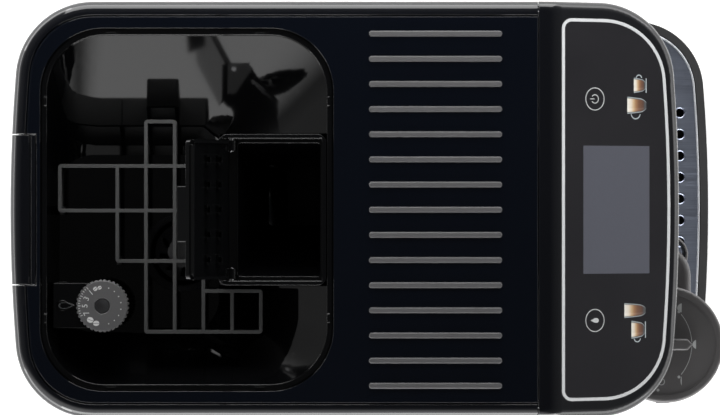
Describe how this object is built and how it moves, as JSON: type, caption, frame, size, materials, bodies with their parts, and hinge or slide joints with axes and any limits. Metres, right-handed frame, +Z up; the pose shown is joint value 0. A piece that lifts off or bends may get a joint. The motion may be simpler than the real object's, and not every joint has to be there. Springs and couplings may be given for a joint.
{
  "type": "bean-to-cup coffee machine",
  "caption": "Compact countertop coffee machine with bean hopper, grinder, sloped touch panel, cup deck, drip tray, rear water tank and a milk-frothing block.",
  "frame": {"origin": "middle of the bounding box, on the table under the feet", "axes": "+Z up, front towards -Y, +X to the right of someone facing the front"},
  "size_m": [0.24, 0.422, 0.3933],
  "materials": {
    "gloss_black": "deep gloss black moulded plastic",
    "panel_black": "black touch glass with a satin print under it",
    "light_white": "milky light guide",
    "dark_grey": "satin dark grey moulded plastic",
    "guard_grey": "satin grey moulded plastic",
    "inner_grey": "plain moulded plastic",
    "steel": "brushed stainless steel",
    "burr_steel": "ground steel",
    "heater_alloy": "cast",
    "motor_can": "zinc grey",
    "rubber_black": "matte",
    "hose_clear": "silicone",
    "board_green": "circuit board",
    "tank_smoke": "smoked clear plastic",
    "display": "display module"
  },
  "bodies": {
    "machine": {"rubber_feet": "rubber_black", "base_plate": "dark_grey", "left_casing": "gloss_black", "right_casing": "gloss_black", "front_bulkhead": "gloss_black", "top_cover": "gloss_black", "head_shell": "gloss_black", "head_underside": "dark_grey", "light_strip": "light_white", "touch_panel": "panel_black", "display_module": "display", "touch_board": "board_green", "bean_hopper": "gloss_black", "finger_guard": "guard_grey", "service_chute": "gloss_black", "flap_pins": "burr_steel", "grinder_housing": "inner_grey", "ground_spout": "inner_grey", "grinder_motor": "motor_can", "grinder_stand": "inner_grey", "brew_frame": "inner_grey", "brew_chamber": "inner_grey", "press_motor": "motor_can", "pump": "motor_can", "pump_bracket": "burr_steel", "flow_meter": "inner_grey", "thermoblock": "heater_alloy", "steam_valve": "motor_can", "tank_hose": "hose_clear", "feed_hose": "hose_clear", "heater_hose": "hose_clear", "brew_hose": "hose_clear", "steam_pipe": "hose_clear", "steam_nozzle": "steel", "tank_dock": "inner_grey", "outlet_guide": "dark_grey", "power_board": "board_green", "cord_gland": "rubber_black", "base_screws": "burr_steel"},
    "flap": {"chute_flap": "guard_grey"},
    "grind_setting": {"grind_knob": "dark_grey", "knob_shaft": "inner_grey"},
    "burr_carrier": {"upper_burr_ring": "burr_steel"},
    "burr_drive": {"lower_burr": "burr_steel"},
    "press_drive": {"press_screw": "burr_steel"},
    "press": {"brew_piston": "inner_grey"},
    "tank": {"water_tank": "tank_smoke", "tank_valve": "inner_grey", "tank_handle": "gloss_black"},
    "tray": {"drip_tray": "dark_grey", "drip_grid": "steel"},
    "grounds": {"grounds_bin": "gloss_black"},
    "outlet": {"coffee_outlet": "gloss_black", "outlet_nozzles": "steel"},
    "milk": {"milk_housing": "gloss_black", "milk_cap": "dark_grey", "milk_spout": "dark_grey"},
    "selector": {"milk_selector": "dark_grey"}
  },
  "joints": [
    {"name": "flap_hinge", "type": "hinge", "parent": "machine", "child": "flap", "pos_m": [0, 0.0836, 0.3465], "axis": [-1, 0, 0], "range_deg": [-116, 0]},
    {"name": "grind_turn", "type": "hinge", "parent": "machine", "child": "grind_setting", "pos_m": [-0.0554, 0.1578, 0.34], "axis": [0, 0, 1], "range_deg": [-23, 46.5]},
    {"name": "burr_carrier_turn", "type": "hinge", "parent": "machine", "child": "burr_carrier", "pos_m": [-0.025, 0.11347, 0.28], "axis": [0, 0, 1], "range_deg": [-15, 8]},
    {"name": "burr_spin", "type": "hinge", "parent": "machine", "child": "burr_drive", "pos_m": [-0.025, 0.11347, 0.25], "axis": [0, 0, 1], "continuous": true},
    {"name": "press_screw_turn", "type": "hinge", "parent": "machine", "child": "press_drive", "pos_m": [0.053, 0.052, 0.15], "axis": [0, 0, 1], "range_deg": [0, 2345]},
    {"name": "press_slide", "type": "slide", "parent": "machine", "child": "press", "axis": [0, 0, 1], "range_m": [0, 0.026]},
    {"name": "tank_slide", "type": "slide", "parent": "machine", "child": "tank", "axis": [0, 1, 0], "range_m": [0, 0.12]},
    {"name": "tray_slide", "type": "slide", "parent": "machine", "child": "tray", "axis": [0, -1, 0], "range_m": [0, 0.125]},
    {"name": "grounds_slide", "type": "slide", "parent": "machine", "child": "grounds", "axis": [0, -1, 0], "range_m": [0, 0.12]},
    {"name": "outlet_height", "type": "slide", "parent": "machine", "child": "outlet", "axis": [0, 0, -1], "range_m": [0, 0.038]},
    {"name": "milk_pull", "type": "slide", "parent": "machine", "child": "milk", "axis": [0, -1, 0], "range_m": [0, 0.03]},
    {"name": "selector_turn", "type": "hinge", "parent": "milk", "child": "selector", "pos_m": [-0.0806, -0.1605, 0.235], "axis": [0, 0, 1], "range_deg": [-73, 42.5]}
  ],
  "couplings": [
    {"joint": "burr_carrier_turn", "follows": "grind_turn", "ratio": -0.30303},
    {"joint": "press_screw_turn", "follows": "press_slide", "rad_per_m": 1570.8}
  ]
}
